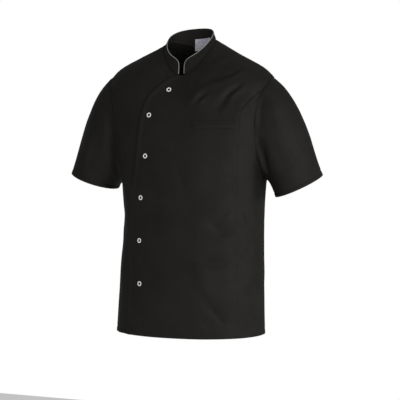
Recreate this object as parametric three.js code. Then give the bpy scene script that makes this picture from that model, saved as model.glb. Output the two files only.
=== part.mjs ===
// A short-sleeved chef jacket in black twill, about size L, in the hollow shape that it keeps when it is worn.
// The left front laps over the right front and closes with six ring snaps along a curved edge. Both fronts have a
// seam that runs from the armhole to the hem, the collar is a low stand with piping at its edge, and the left chest
// has a welt pocket.
// Millimetres, with +Z up. The jacket faces -Y, and +X is its left side as worn. The origin is the middle of the
// neck opening, level with the shoulders at the neck, which is where the shoulders carry it.

import * as THREE from "three";

const { clamp, degToRad, lerp, smoothstep } = THREE.MathUtils;

const clothWall = 1.6;
const collarWall = 2.4;
const labelWall = 1.0;
const seamGap = 0.3;
const layerGap = 1.0; // between the two fronts where they lap
const trimGap = 0.5; // under what lies on a panel

// Rings of the body from the neck seam to the hem. side, front and back are a ring's heights at the shoulder or side,
// the centre front and the centre back. halfWidth, frontDepth and backDepth reach out from its middle, which is moved
// by shift to the left and by lean forward. drop is how much lower the left side
// hangs than the middle, and how much higher the right side is. round is 2 for an ellipse, more for a squarer ring.
const bodyRings = [
  { side: 0, front: -91, back: 2, halfWidth: 71, frontDepth: 62, backDepth: 58, shift: -5, lean: 9, drop: 0, round: 2 },
  { side: -20, front: -106, back: -14, halfWidth: 108, frontDepth: 74, backDepth: 78, shift: -4, lean: 10, drop: 3, round: 2.1 },
  { side: -46, front: -128, back: -44, halfWidth: 162, frontDepth: 90, backDepth: 96, shift: -3, lean: 10, drop: 7, round: 2.1 },
  { side: -76, front: -158, back: -82, halfWidth: 233, frontDepth: 106, backDepth: 109, shift: -2, lean: 7, drop: 11, round: 2.25 },
  { side: -166, front: -212, back: -160, halfWidth: 223, frontDepth: 122, backDepth: 114, shift: 0, lean: 4, drop: 8, round: 2.5 },
  { side: -255, front: -278, back: -250, halfWidth: 207, frontDepth: 132, backDepth: 116, shift: 2, lean: 2, drop: 5, round: 2.55 },
  { side: -342, front: -350, back: -340, halfWidth: 191, frontDepth: 135, backDepth: 115, shift: 4, lean: 2, drop: 2, round: 2.4 },
  { side: -470, front: -470, back: -470, halfWidth: 185, frontDepth: 131, backDepth: 110, shift: 4, lean: 2, drop: 0, round: 2.3 },
  { side: -610, front: -610, back: -610, halfWidth: 193, frontDepth: 135, backDepth: 114, shift: -2, lean: 2, drop: 0, round: 2.3 },
  { side: -744, front: -746, back: -744, halfWidth: 198, frontDepth: 139, backDepth: 118, shift: -5, lean: 2, drop: 0, round: 2.3 },
];
const tipLevel = 3;
const underarmLevel = 6;
const hemLevel = bodyRings.length - 1;

// Rings of the stand collar, from the neck seam to the rim, in the same terms.
const collarRings = [
  { ...bodyRings[0] },
  { side: 7, front: -69, back: 26, halfWidth: 66, frontDepth: 60, backDepth: 59, shift: -6, lean: 6, drop: 0, round: 2 },
  { side: 15, front: -49, back: 49, halfWidth: 62.5, frontDepth: 59, backDepth: 61, shift: -7, lean: 3, drop: 0, round: 2 },
];
const rimLevel = collarRings.length - 1;
const collarEnd = { gapHalf: 9, corner: 14 };
const pipingRadius = 1.3;
const pipingGap = 0.8;
const standGap = 0.5; // between the collar and the neck seam

// The armhole is an egg round the side of the body: how far it opens to the front and to the back of the seam. Its
// top is more pointed than its underarm.
const shoulderSeamAngle = degToRad(88);
const sideSeamAngle = degToRad(92);
const armhole = { front: degToRad(22), back: degToRad(17), steps: 12, topRound: 1.6, underRound: 2.2 };

// Each sleeve ends in an oval hem: its middle, its half sizes across the arm and front to back, its tilt, and how far
// its front dips and its back rises.
const sleeveHems = [
  { name: "sleeve_left", side: 1, x: 281, y: 10, z: -369, across: 61, depth: 72, tilt: degToRad(21), dip: 19 },
  { name: "sleeve_right", side: -1, x: 288, y: 10, z: -350, across: 66, depth: 72, tilt: degToRad(21), dip: 6 },
];
const sleeveSteps = 11;
const armholeGap = 0.5; // between a sleeve and the body's panels
// The direction in which a sleeve leaves the armhole, out and down, and how strongly it keeps to it.
const sleeveStart = {
  top: { out: 0.84, down: 0.54, pull: 0.95 },
  under: { out: 0.97, down: 0.24, pull: 0.8 },
  bulge: -0.2,
};
const sleeveEndPull = 0.8;
// Folds of the sleeves. turn goes round from the top by the front, in degrees, and from and to go down the sleeve.
const sleeveFolds = [
  { side: 1, turn: 52, from: 0.02, to: 0.5, height: -4, width: 16 },
  { side: 1, turn: 96, from: 0.15, to: 0.95, height: -3, width: 18 },
  { side: 1, turn: 285, from: 0.05, to: 0.7, height: -4, width: 20 },
  { side: -1, turn: 75, from: 0.1, to: 0.9, height: -5, width: 18 },
  { side: -1, turn: 118, from: 0.05, to: 0.7, height: -4, width: 18 },
  { side: -1, turn: 280, from: 0.05, to: 0.75, height: -4, width: 20 },
];

// Seams and edges of the fronts: how far each lies from the middle at a height.
const princessSeam = [
  { z: -136, x: 224 },
  { z: -148, x: 200 },
  { z: -158, x: 180 },
  { z: -168, x: 166 },
  { z: -184, x: 160 },
  { z: -215, x: 158 },
  { z: -350, x: 155 },
  { z: -550, x: 152 },
  { z: -760, x: 156 },
];
const overlapEdge = [
  { z: -80, x: -5 },
  { z: -90, x: -8 },
  { z: -101, x: -30 },
  { z: -118, x: -50 },
  { z: -143, x: -75 },
  { z: -178, x: -92 },
  { z: -230, x: -97 },
  { z: -300, x: -102 },
  { z: -360, x: -114 },
  { z: -420, x: -127 },
  { z: -530, x: -129 },
  { z: -640, x: -126 },
  { z: -760, x: -135 },
];
const underlapEdge = [
  { z: -80, x: 9 },
  { z: -100, x: 20 },
  { z: -130, x: 40 },
  { z: -170, x: 58 },
  { z: -220, x: 65 },
  { z: -760, x: 65 },
];
const overlapLift = clothWall + layerGap;
const overlapRamp = { start: 6, length: 24 };

const snapPlaces = [
  { x: -25, z: -129 },
  { x: -71, z: -192 },
  { x: -77, z: -295 },
  { x: -92, z: -399 },
  { x: -97, z: -507 },
  { x: -94, z: -615 },
];
const snapRing = { outer: 6, inner: 3.2, thick: 1.8, segments: 14 };

const welt = { left: 48, right: 154, top: -213, height: 18, thick: 1.6, columns: 7, rows: 2 };
const label = { aside: 18, halfWidth: 25, top: 21, bottom: -11, columns: 6, rows: 3, gap: 1.0 };

// Folds of the body cloth between two points, as seen from the front or the back. height is negative for a trough.
const folds = [
  { x1: 50, z1: -110, x2: 156, z2: -70, height: -4, width: 18, isFront: true },
  { x1: 98, z1: -195, x2: 168, z2: -115, height: -4, width: 18, isFront: true },
  { x1: 20, z1: -185, x2: 90, z2: -108, height: 4, width: 18, isFront: true },
  { x1: -100, z1: -18, x2: -38, z2: -108, height: -3, width: 18, isFront: true },
  { x1: 70, z1: -455, x2: 155, z2: -492, height: -5, width: 18, isFront: true },
  { x1: 45, z1: -540, x2: 145, z2: -573, height: -4, width: 20, isFront: true },
  { x1: 50, z1: -545, x2: 110, z2: -675, height: 4, width: 20, isFront: true },
  { x1: 62, z1: -628, x2: 142, z2: -730, height: -5, width: 20, isFront: true },
  { x1: 150, z1: -385, x2: 182, z2: -490, height: -5, width: 16, isFront: true },
  { x1: 195, z1: -470, x2: 142, z2: -590, height: -4, width: 16, isFront: true },
  { x1: -115, z1: -505, x2: -60, z2: -600, height: 3, width: 20, isFront: true },
  { x1: -150, z1: -400, x2: -176, z2: -480, height: -4, width: 16, isFront: true },
  { x1: -172, z1: -520, x2: -150, z2: -640, height: 4, width: 20, isFront: true },
  { x1: -130, z1: -70, x2: -20, z2: -95, height: -4, width: 24, isFront: false },
  { x1: 130, z1: -74, x2: 30, z2: -104, height: -3, width: 24, isFront: false },
  { x1: -170, z1: -190, x2: -80, z2: -300, height: -5, width: 26, isFront: false },
  { x1: 172, z1: -180, x2: 90, z2: -310, height: -5, width: 26, isFront: false },
  { x1: -120, z1: -440, x2: 20, z2: -470, height: -6, width: 26, isFront: false },
  { x1: 130, z1: -455, x2: 40, z2: -505, height: -5, width: 24, isFront: false },
  { x1: -60, z1: -540, x2: -90, z2: -730, height: 5, width: 30, isFront: false },
  { x1: 70, z1: -560, x2: 95, z2: -735, height: 5, width: 30, isFront: false },
];
const foldReach = 3; // in widths, past which a fold is nothing

// A value between the rows of a table, on a soft curve that starts and ends at its outer rows and rounds off the
// others. at counts rows and may lie between two.
function along(rows, column, at) {
  const last = rows.length - 1;
  const i = clamp(Math.floor(at), 0, last - 1);
  const f = at - i;
  const value = (k) => {
    if (k < 0) return 2 * rows[0][column] - rows[1][column];
    if (k > last) return 2 * rows[last][column] - rows[last - 1][column];
    return rows[k][column];
  };
  const weights = [(1 - f) ** 3, 3 * f ** 3 - 6 * f ** 2 + 4, 3 * (f + f ** 2 - f ** 3) + 1, f ** 3];
  return weights.reduce((sum, weight, k) => sum + weight * value(i - 1 + k), 0) / 6;
}

// How far an edge lies from the middle at a height.
function xAt(edge, z) {
  const next = edge.findIndex((row) => row.z < z);
  if (next === 0) return edge[0].x;
  if (next < 0) return edge.at(-1).x;
  return along(edge, "x", next - 1 + (edge[next - 1].z - z) / (edge[next - 1].z - edge[next].z));
}

// A ring's point. angle is 0 at the centre front, a quarter turn at the left side and a half turn at the back.
function ringPoint(rings, angle, at) {
  const column = (name) => along(rings, name, at);
  const [sideways, ahead] = [Math.sin(angle), Math.cos(angle)];
  const round = column("round");
  const wide = Math.abs(sideways / column("halfWidth")) ** round;
  const deep = Math.abs(ahead / column(ahead >= 0 ? "frontDepth" : "backDepth")) ** round;
  const reach = (wide + deep) ** (-1 / round);
  const middle = (column("front") + column("back")) / 2;
  const slope = (column("front") - column("back")) / 2;
  const level = middle + slope * ahead + (column("side") - middle) * sideways ** 2;
  const height = level - column("drop") * sideways;
  return new THREE.Vector3(reach * sideways + column("shift"), -reach * ahead - column("lean"), height);
}

const probe = { angle: degToRad(0.5), level: 0.02 };

// The outward direction of a surface that is a function of angle and level.
function outward(surface, angle, level, lastLevel) {
  const up = clamp(level - probe.level, 0, lastLevel);
  const down = clamp(level + probe.level, 0, lastLevel);
  const across = surface(angle + probe.angle, level).sub(surface(angle - probe.angle, level));
  const downwards = surface(angle, down).sub(surface(angle, up));
  return downwards.cross(across).normalize();
}

const formPoint = (angle, level) => ringPoint(bodyRings, angle, level);

// How far the folds move the body cloth out at a point: a soft bell across each fold that dies out at its ends.
function foldHeight(point, isFront) {
  let sum = 0;
  for (const fold of folds) {
    if (fold.isFront !== isFront) continue;
    const [alongX, alongZ] = [fold.x2 - fold.x1, fold.z2 - fold.z1];
    const length = Math.hypot(alongX, alongZ);
    const [x, z] = [point.x - fold.x1, point.z - fold.z1];
    const share = (x * alongX + z * alongZ) / length ** 2;
    const off = (x * alongZ - z * alongX) / length / fold.width;
    if (share <= 0 || share >= 1 || Math.abs(off) > foldReach) continue;
    sum += fold.height * Math.exp(-off * off) * Math.sin(Math.PI * share);
  }
  return sum;
}

// The body cloth's outside, with its folds.
function bodyPoint(angle, level) {
  const point = formPoint(angle, level);
  const height = foldHeight(point, Math.cos(angle) >= 0);
  if (height === 0) return point;
  return point.addScaledVector(outward(formPoint, angle, level, hemLevel), height);
}

const bodyOutward = (angle, level) => outward(bodyPoint, angle, level, hemLevel);

// The angle at which a level of the front meets an edge.
function edgeAngle(edge, level) {
  let [low, high] = [-Math.PI / 2, Math.PI / 2];
  for (let step = 0; step < 40; step++) {
    const middle = (low + high) / 2;
    const point = formPoint(middle, level);
    if (point.x < xAt(edge, point.z)) low = middle;
    else high = middle;
  }
  return low;
}

// The angle and level of the front's point that is x from the middle, at height z.
function placeOnFront(x, z) {
  const line = [{ z, x }, { z: z - 1, x }];
  let [low, high] = [0, hemLevel];
  for (let step = 0; step < 40; step++) {
    const middle = (low + high) / 2;
    if (formPoint(edgeAngle(line, middle), middle).z > z) low = middle;
    else high = middle;
  }
  return { angle: edgeAngle(line, low), level: low };
}

// How far out the left front lies: it climbs over the hidden edge of the right front.
function overlapHeight(point) {
  const beyond = xAt(underlapEdge, point.z) + overlapRamp.start + overlapRamp.length - point.x;
  return overlapLift * smoothstep(beyond, 0, overlapRamp.length);
}

// A point on the left front, or above it by lift.
function leftFrontPoint(x, z, lift) {
  const { angle, level } = placeOnFront(x, z);
  const point = bodyPoint(angle, level);
  return point.addScaledVector(bodyOutward(angle, level), overlapHeight(formPoint(angle, level)) + lift);
}

// A closed solid between an outer and an inner grid of points. A ring joins its last column to its first.
function wallSolid(outer, inner, isRing = false) {
  const rows = outer.length;
  const columns = outer[0].length;
  const positions = [...outer.flat(), ...inner.flat()].flatMap((p) => [p.x, p.y, p.z]);
  const out = (i, j) => i * columns + (j % columns);
  const inn = (i, j) => rows * columns + out(i, j);
  const index = [];
  const quad = (a, b, c, d) => index.push(a, b, c, a, c, d);
  const lastColumn = isRing ? columns : columns - 1;
  for (let j = 0; j < lastColumn; j++) {
    for (let i = 0; i < rows - 1; i++) {
      quad(out(i, j), out(i + 1, j), out(i + 1, j + 1), out(i, j + 1));
      quad(inn(i, j), inn(i, j + 1), inn(i + 1, j + 1), inn(i + 1, j));
    }
    quad(out(0, j), out(0, j + 1), inn(0, j + 1), inn(0, j));
    quad(out(rows - 1, j), inn(rows - 1, j), inn(rows - 1, j + 1), out(rows - 1, j + 1));
  }
  if (!isRing) {
    for (let i = 0; i < rows - 1; i++) {
      quad(out(i, 0), inn(i, 0), inn(i + 1, 0), out(i + 1, 0));
      quad(out(i, lastColumn), out(i + 1, lastColumn), inn(i + 1, lastColumn), inn(i, lastColumn));
    }
  }
  if (signedVolume(positions, index) < 0) index.reverse();
  const geometry = new THREE.BufferGeometry();
  geometry.setAttribute("position", new THREE.Float32BufferAttribute(positions, 3));
  geometry.setIndex(index);
  geometry.computeVertexNormals();
  return geometry;
}

function signedVolume(positions, index) {
  const corner = (k) => new THREE.Vector3().fromArray(positions, 3 * index[k]);
  let sum = 0;
  for (let k = 0; k < index.length; k += 3) sum += corner(k).dot(corner(k + 1).cross(corner(k + 2)));
  return sum / 6;
}

const evenly = (count, make) => Array.from({ length: count }, (_, k) => make(k));

// The levels of the rows of every body panel: closer together where the armhole turns.
const armholeShares = evenly(armhole.steps + 1, (k) => (1 - Math.cos((Math.PI * k) / armhole.steps)) / 2);
const armholeLevels = armholeShares.map((share) => lerp(tipLevel, underarmLevel, share));
const neckLevels = [0, 0.3, 0.75, 1.25, 1.75, 2.2, 2.55, 2.8];
const skirtRows = 18;
const skirtLevels = evenly(skirtRows, (k) => lerp(underarmLevel, hemLevel, (k + 1) / skirtRows));
const bodyLevels = [...neckLevels, ...armholeLevels, ...skirtLevels];
const princessStart = 3; // the row of the armhole at which the front's seam begins
const princessLevel = armholeLevels[princessStart];

// Where the panels end: at the shoulder seam, then at the armhole, then at the side seam.
function sideEdge(level, towards) {
  const share = clamp((level - tipLevel) / (underarmLevel - tipLevel), 0, 1);
  const round = lerp(armhole.topRound, armhole.underRound, share);
  const spread = (1 - Math.abs(2 * share - 1) ** round) ** (1 / round);
  const seam = lerp(shoulderSeamAngle, sideSeamAngle, share);
  return seam + (towards === "front" ? -armhole.front : armhole.back) * spread;
}

const princessAngle = (level) => edgeAngle(princessSeam, level);

// The front's outer edge leaves the armhole where the princess seam begins.
const sideTopWidth = degToRad(0.8);
const seamAngle = (level) => Math.min(princessAngle(level), sideEdge(level, "front") - sideTopWidth);
const frontOuterEdge = (level) => (level < princessLevel ? sideEdge(level, "front") : seamAngle(level));

// A panel of body cloth between two edges, which are functions of the level that give an angle.
function panel({ levels = bodyLevels, from, to, columns, lift = () => 0 }) {
  const grid = (inset) =>
    levels.map((level) => {
      const reachAt = (angle) => formPoint(angle, level).setZ(0).length();
      const start = from(level) + seamGap / 2 / reachAt(from(level));
      const end = to(level) - seamGap / 2 / reachAt(to(level));
      return evenly(columns + 1, (j) => {
        const angle = lerp(start, end, j / columns);
        const height = lift(formPoint(angle, level)) - inset;
        return bodyPoint(angle, level).addScaledVector(bodyOutward(angle, level), height);
      });
    });
  return wallSolid(grid(0), grid(clothWall));
}

function leftFront() {
  const from = (level) => edgeAngle(overlapEdge, level);
  return panel({ from, to: frontOuterEdge, columns: 16, lift: overlapHeight });
}

function rightFront() {
  const from = (level) => -frontOuterEdge(level);
  return panel({ from, to: (level) => edgeAngle(underlapEdge, level), columns: 12 });
}

function sideFront(side) {
  const outer = (level) => sideEdge(level, "front");
  const from = side > 0 ? seamAngle : (level) => -outer(level);
  const to = side > 0 ? outer : (level) => -seamAngle(level);
  return panel({ levels: bodyLevels.filter((level) => level >= princessLevel), from, to, columns: 4 });
}

function back() {
  const from = (level) => sideEdge(level, "back");
  return panel({ from, to: (level) => 2 * Math.PI - from(level), columns: 20 });
}

// The armhole's edge as a loop of angles and levels: from the shoulder down the front and up the back.
function armholeLoop(side) {
  const down = armholeLevels.map((level) => ({ level, angle: sideEdge(level, "front") }));
  const up = armholeLevels.slice(1, -1).map((level) => ({ level, angle: sideEdge(level, "back") }));
  return [...down, ...up.reverse()].map(({ level, angle }) => ({ level, angle: side * angle }));
}

// A sleeve's outside: each column leaves the armhole, bends down and runs into the hem along the arm.
function sleeveGrid(hem) {
  const loop = armholeLoop(hem.side);
  const arm = new THREE.Vector3(hem.side * Math.sin(hem.tilt), 0, -Math.cos(hem.tilt));
  const across = new THREE.Vector3(hem.side * Math.cos(hem.tilt), 0, Math.sin(hem.tilt));
  const columns = loop.map(({ angle, level }, j) => {
    const turn = (2 * Math.PI * j) / loop.length;
    const from = bodyPoint(angle, level);
    const to = new THREE.Vector3(hem.side * hem.x, hem.y - hem.depth * Math.sin(turn), hem.z - hem.dip * Math.sin(turn));
    to.addScaledVector(across, hem.across * Math.cos(turn));
    const length = from.distanceTo(to);
    const under = (1 - Math.cos(turn)) / 2;
    const start = (name) => lerp(sleeveStart.top[name], sleeveStart.under[name], under);
    const sideways = -sleeveStart.bulge * Math.sin(turn);
    const leave = new THREE.Vector3(hem.side * start("out"), sideways, -start("down"));
    const pull = length * start("pull");
    return { from, to, leave: leave.multiplyScalar(pull), arrive: arm.clone().multiplyScalar(length * sleeveEndPull) };
  });
  return evenly(sleeveSteps + 1, (i) => columns.map((column) => hermite(column, i / sleeveSteps)));
}

function hermite({ from, to, leave, arrive }, t) {
  const point = from.clone().multiplyScalar(1 - t * t * (3 - 2 * t));
  point.addScaledVector(leave, t * (1 - t) ** 2);
  point.addScaledVector(to, t * t * (3 - 2 * t));
  return point.addScaledVector(arrive, t * t * (t - 1));
}

// The outward direction at each point of a grid that goes round, by its neighbours.
function ringOutward(grid, side) {
  const columns = grid[0].length;
  return grid.map((row, i) =>
    row.map((_, j) => {
      const below = grid[Math.min(i + 1, grid.length - 1)][j].clone().sub(grid[Math.max(i - 1, 0)][j]);
      const across = row[(j + 1) % columns].clone().sub(row[(j + columns - 1) % columns]);
      return below.cross(across).multiplyScalar(side).normalize();
    }),
  );
}

// How far a sleeve's folds move it out, at a share of a turn round it and a share of its length.
function sleeveFoldHeight(side, turn, share) {
  let sum = 0;
  for (const fold of sleeveFolds) {
    if (fold.side !== side || share <= fold.from || share >= fold.to) continue;
    const off = (360 * turn - fold.turn) / fold.width;
    sum += fold.height * Math.exp(-off * off) * Math.sin((Math.PI * (share - fold.from)) / (fold.to - fold.from));
  }
  return sum;
}

function sleeve(hem) {
  const grid = sleeveGrid(hem);
  const out = ringOutward(grid, hem.side);
  for (const [i, row] of grid.entries()) {
    row.forEach((p, j) => p.addScaledVector(out[i][j], sleeveFoldHeight(hem.side, j / row.length, i / sleeveSteps)));
  }
  const outer = grid.map((row, i) => (i > 0 ? row : row.map((point, j) => towards(point, grid[1][j], armholeGap))));
  const inner = outer.map((row, i) => row.map((p, j) => p.clone().addScaledVector(out[i][j], -clothWall)));
  return wallSolid(outer, inner, true);
}

function towards(point, target, distance) {
  return point.clone().addScaledVector(target.clone().sub(point).normalize(), distance);
}

// The stand collar goes round from one end, beside the centre front, to the other. Its top corners are rounded.
const collarColumns = 34;
const collarRows = 3;
const collarStart = Math.asin(collarEnd.gapHalf / collarRings[0].frontDepth);
const collarPoint = (angle, level) => ringPoint(collarRings, angle, level);

function collarAngles() {
  const cornerAngle = collarEnd.corner / collarRings[0].frontDepth;
  const corner = [0, 0.04, 0.14, 0.3, 0.6].map((share) => collarStart + cornerAngle * share);
  const bend = evenly(collarColumns + 1, (k) =>
    lerp(collarStart + cornerAngle, 2 * Math.PI - collarStart - cornerAngle, k / collarColumns),
  );
  return [...corner, ...bend, ...corner.map((angle) => 2 * Math.PI - angle).reverse()];
}

// The collar's top level at an angle: the rim, or lower on the round of an end.
function collarTop(angle) {
  const turned = Math.min(angle, 2 * Math.PI - angle) - collarStart;
  const fromEnd = Math.max(turned, 0) * collarRings[0].frontDepth;
  const height = collarPoint(angle, rimLevel).distanceTo(collarPoint(angle, 0));
  const short = collarEnd.corner - Math.min(fromEnd, collarEnd.corner);
  const drop = collarEnd.corner - Math.sqrt(collarEnd.corner ** 2 - short ** 2);
  return rimLevel * (1 - drop / height);
}

const collarOutward = (angle, level) => outward(collarPoint, angle, level, rimLevel).negate();

function collarSkin(angle, level, inset) {
  const point = collarPoint(angle, level).addScaledVector(collarOutward(angle, level), -inset);
  return point.setZ(point.z + standGap);
}

function collar() {
  const angles = collarAngles();
  const grid = (inset) =>
    evenly(collarRows + 1, (i) => angles.map((angle) => collarSkin(angle, (collarTop(angle) * i) / collarRows, inset)));
  return wallSolid(grid(0), grid(collarWall));
}

// A round cord just outside the collar's edge, up one end, round the rim and down the other end.
function collarPiping() {
  const angles = collarAngles();
  const edgeAt = (angle, level) => collarSkin(angle, level, collarWall / 2);
  const upEnd = [0.12, 0.5].map((share) => edgeAt(angles[0], share * collarTop(angles[0])));
  const downEnd = [0.5, 0.12].map((share) => edgeAt(angles.at(-1), share * collarTop(angles.at(-1))));
  const rim = angles.map((angle) => edgeAt(angle, collarTop(angle)));
  const edge = [...upEnd, ...rim, ...downEnd];
  const away = edge.map((point, k) => {
    const rimAngle = angles[clamp(k - upEnd.length, 0, angles.length - 1)];
    const face = collarOutward(rimAngle, collarTop(rimAngle));
    const ahead = edge[Math.min(k + 1, edge.length - 1)].clone().sub(edge[Math.max(k - 1, 0)]);
    return face.cross(ahead).normalize();
  });
  const sign = away[Math.floor(edge.length / 2)].z > 0 ? 1 : -1;
  const path = edge.map((point, k) => point.addScaledVector(away[k], sign * (pipingRadius + pipingGap)));
  const curve = new THREE.CatmullRomCurve3(path);
  const section = new THREE.Shape().absarc(0, 0, pipingRadius, 0, 2 * Math.PI);
  const settings = { extrudePath: curve, steps: path.length, curveSegments: 6, bevelEnabled: false };
  return new THREE.ExtrudeGeometry(section, settings);
}

// A bare label inside the back of the neck, which hangs from the collar's seam.
function neckLabel() {
  const [half, turned] = [label.halfWidth, label.aside].map((size) => size / collarRings[0].backDepth);
  const grid = (inset) =>
    evenly(label.rows + 1, (i) =>
      evenly(label.columns + 1, (j) => {
        const angle = Math.PI - turned + lerp(-half, half, j / label.columns);
        const z = lerp(label.top, label.bottom, i / label.rows);
        const [foot, rim] = [collarPoint(angle, 0), collarPoint(angle, rimLevel)];
        const level = rimLevel * clamp((z - foot.z) / (rim.z - foot.z), 0, 1);
        const point = collarSkin(angle, level, collarWall + label.gap + inset);
        return point.setZ(z);
      }),
    );
  return wallSolid(grid(0), grid(labelWall));
}

function pocketWelt() {
  const grid = (lift) =>
    evenly(welt.rows + 1, (i) =>
      evenly(welt.columns + 1, (j) => {
        const x = lerp(welt.left, welt.right, j / welt.columns);
        return leftFrontPoint(x, welt.top - (welt.height * i) / welt.rows, lift);
      }),
    );
  return wallSolid(grid(trimGap + welt.thick), grid(trimGap));
}

// A ring snap: a rounded washer that lies on the left front.
function snap({ x, z }) {
  const { outer, inner, thick, segments } = snapRing;
  const profile = [
    new THREE.Vector2(inner, 0),
    new THREE.Vector2(outer, 0),
    new THREE.Vector2(outer, thick * 0.45),
    new THREE.Vector2((outer + inner) / 2, thick),
    new THREE.Vector2(inner, thick * 0.6),
    new THREE.Vector2(inner, 0),
  ];
  const geometry = new THREE.LatheGeometry(profile, segments);
  const { angle, level } = placeOnFront(x, z);
  const up = new THREE.Vector3(0, 1, 0);
  geometry.applyQuaternion(new THREE.Quaternion().setFromUnitVectors(up, bodyOutward(angle, level)));
  const place = leftFrontPoint(x, z, trimGap);
  return geometry.translate(place.x, place.y, place.z);
}

const twill = new THREE.MeshStandardMaterial({ color: "#22211f", roughness: 0.85 });
const pipingCloth = new THREE.MeshStandardMaterial({ color: "#b9bab8", roughness: 0.6 });
const labelCloth = new THREE.MeshStandardMaterial({ color: "#c9c8da", roughness: 0.5 });
const snapPlastic = new THREE.MeshStandardMaterial({ color: "#ecebe6", roughness: 0.35 });

function piece(name, geometry, material) {
  const mesh = new THREE.Mesh(geometry, material);
  mesh.name = name;
  return mesh;
}

const jacket = new THREE.Group();
jacket.add(
  piece("front_left", leftFront(), twill),
  piece("front_right", rightFront(), twill),
  piece("side_front_left", sideFront(1), twill),
  piece("side_front_right", sideFront(-1), twill),
  piece("back", back(), twill),
  piece("collar", collar(), twill),
  piece("collar_piping", collarPiping(), pipingCloth),
  piece("neck_label", neckLabel(), labelCloth),
  piece("pocket_welt", pocketWelt(), twill),
  ...sleeveHems.map((hem) => piece(hem.name, sleeve(hem), twill)),
  ...snapPlaces.map((place, k) => piece(`snap_${k + 1}`, snap(place), snapPlastic)),
);

export default jacket;
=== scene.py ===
# Chef jacket in black twill, hollow as it hangs on its wearer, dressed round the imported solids.
# Metres, +Z up, the jacket faces -Y and +X is its left side as worn.
import math

import bmesh
import bpy
import numpy as np
from mathutils import Matrix, Vector, noise
from mathutils.bvhtree import BVHTree
from mathutils.kdtree import KDTree


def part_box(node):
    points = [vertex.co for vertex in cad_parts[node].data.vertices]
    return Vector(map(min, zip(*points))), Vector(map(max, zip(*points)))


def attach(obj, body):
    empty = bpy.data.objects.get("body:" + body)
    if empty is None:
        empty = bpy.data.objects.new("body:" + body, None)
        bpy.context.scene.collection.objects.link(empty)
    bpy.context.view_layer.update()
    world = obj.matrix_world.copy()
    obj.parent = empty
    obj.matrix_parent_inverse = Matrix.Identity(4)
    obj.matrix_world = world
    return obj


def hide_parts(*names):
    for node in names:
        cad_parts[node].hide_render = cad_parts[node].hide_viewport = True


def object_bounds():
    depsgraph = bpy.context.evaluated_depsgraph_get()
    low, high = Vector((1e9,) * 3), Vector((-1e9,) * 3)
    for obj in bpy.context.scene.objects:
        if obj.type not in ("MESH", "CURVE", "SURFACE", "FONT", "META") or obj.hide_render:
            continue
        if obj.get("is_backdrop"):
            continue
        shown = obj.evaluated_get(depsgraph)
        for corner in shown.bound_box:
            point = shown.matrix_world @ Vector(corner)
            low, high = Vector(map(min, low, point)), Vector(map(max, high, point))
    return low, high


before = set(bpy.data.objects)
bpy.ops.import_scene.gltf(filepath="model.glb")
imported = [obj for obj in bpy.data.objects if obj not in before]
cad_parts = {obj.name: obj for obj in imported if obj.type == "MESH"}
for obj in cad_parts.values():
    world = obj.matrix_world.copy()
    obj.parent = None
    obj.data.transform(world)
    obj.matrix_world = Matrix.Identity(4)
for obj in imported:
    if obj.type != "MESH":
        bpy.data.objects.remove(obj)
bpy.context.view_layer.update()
mm = 0.001
print("frame loaded:", len(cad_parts), "nodes")


# Materials

def linear(hexColour):
    parts = [int(hexColour[k:k + 2], 16) / 255 for k in (1, 3, 5)]
    return tuple(c / 12.92 if c <= 0.04045 else ((c + 0.055) / 1.055) ** 2.4 for c in parts) + (1.0,)


def addNode(tree, kind, settings=None, links=None):
    node = tree.nodes.new(kind)
    for name, value in (settings or {}).items():
        if name in node.inputs:
            node.inputs[name].default_value = value
        else:
            setattr(node, name, value)
    for name, socket in (links or {}).items():
        tree.links.new(socket, node.inputs[name])
    return node


def newMaterial(name):
    material = bpy.data.materials.new(name)
    material.use_nodes = True
    material.node_tree.nodes.clear()
    return material, material.node_tree


twillLook = {
    "black": "#1d1c1a", "worn": "#21201e",    # sRGB, vat-dyed black and the same a little washed out
    "roughness": 0.6, "sheen": 0.02, "sheenRoughness": 0.4, "sheenTint": "#8a847c",
    "rib": 1.2 * mm, "ribAngle": 63,          # a real rib is 0.5 mm; drawn wider so that it shows close up
    "ribDepth": 0.09 * mm, "slubDepth": 0.25 * mm,
    "yarn": 0.9 * mm, "slub": 7 * mm, "dye": 60 * mm,    # the spacing of patches in the yarn, the weave and the dye
    "unevenness": 0.07,                       # in its roughness
}


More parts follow.
